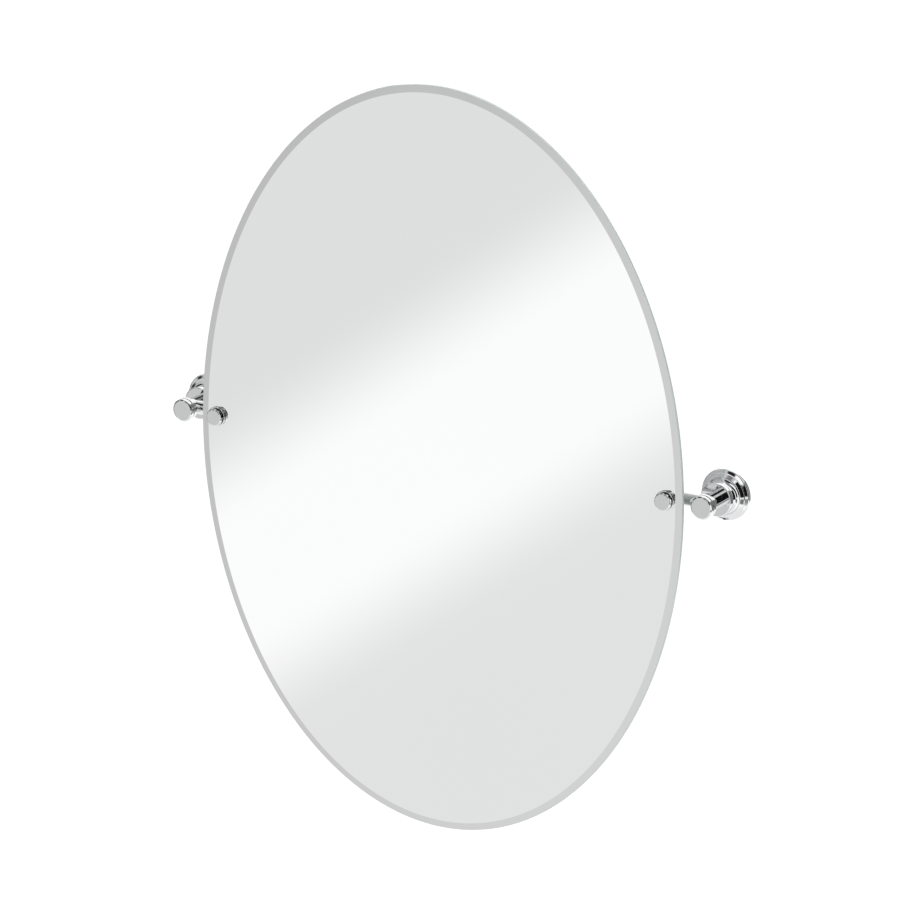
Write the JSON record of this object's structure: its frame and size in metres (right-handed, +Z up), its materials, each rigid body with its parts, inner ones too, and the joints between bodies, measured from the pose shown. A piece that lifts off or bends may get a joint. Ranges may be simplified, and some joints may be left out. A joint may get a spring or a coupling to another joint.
{
  "type": "pivot wall mirror",
  "caption": "Frameless oval mirror with a bevelled edge, held at its sides by two chromed wall brackets on which it tilts.",
  "frame": {"origin": "on the wall, midway between the two brackets, at the height of the pivots", "axes": "+Y into the wall, +X to the right as seen from the room, +Z up"},
  "size_m": [0.626, 0.0538, 0.7366],
  "materials": {
    "mirror_glass": "silvered glass, polished bevel",
    "back_paint": "matt protective paint",
    "chrome": "polished chrome plate",
    "steel": "zinc plated",
    "brass": "machined, unplated",
    "nylon": "natural nylon",
    "clear_vinyl": "clear soft vinyl",
    "rubber": "moulded black rubber"
  },
  "bodies": {
    "wall_brackets": {"left_wall_plate": "steel", "left_rosette": "chrome", "left_rosette_grub_screw": "steel", "left_post_screw": "steel", "left_collar": "chrome", "left_post": "chrome", "left_end_cap": "chrome", "left_arm_grub_screw": "steel", "left_arm": "chrome", "left_friction_washer": "nylon", "left_spring_washer": "steel", "left_pivot_screw": "steel", "right_wall_plate": "steel", "right_rosette": "chrome", "right_rosette_grub_screw": "steel", "right_post_screw": "steel", "right_collar": "chrome", "right_post": "chrome", "right_end_cap": "chrome", "right_arm_grub_screw": "steel", "right_arm": "chrome", "right_friction_washer": "nylon", "right_spring_washer": "steel", "right_pivot_screw": "steel"},
    "mirror": {"mirror_glass": "mirror_glass", "mirror_backing": "back_paint", "left_pivot_block": "brass", "left_rear_washer": "rubber", "left_glass_sleeve": "nylon", "left_front_pad": "clear_vinyl", "left_knob_washer": "chrome", "left_knob": "chrome", "right_pivot_block": "brass", "right_rear_washer": "rubber", "right_glass_sleeve": "nylon", "right_front_pad": "clear_vinyl", "right_knob_washer": "chrome", "right_knob": "chrome"}
  },
  "joints": [
    {"name": "mirror_tilt", "type": "hinge", "parent": "wall_brackets", "child": "mirror", "pos_m": [0, -0.0313, 0], "axis": [1, 0, 0], "range_deg": [-6, 6]}
  ]
}
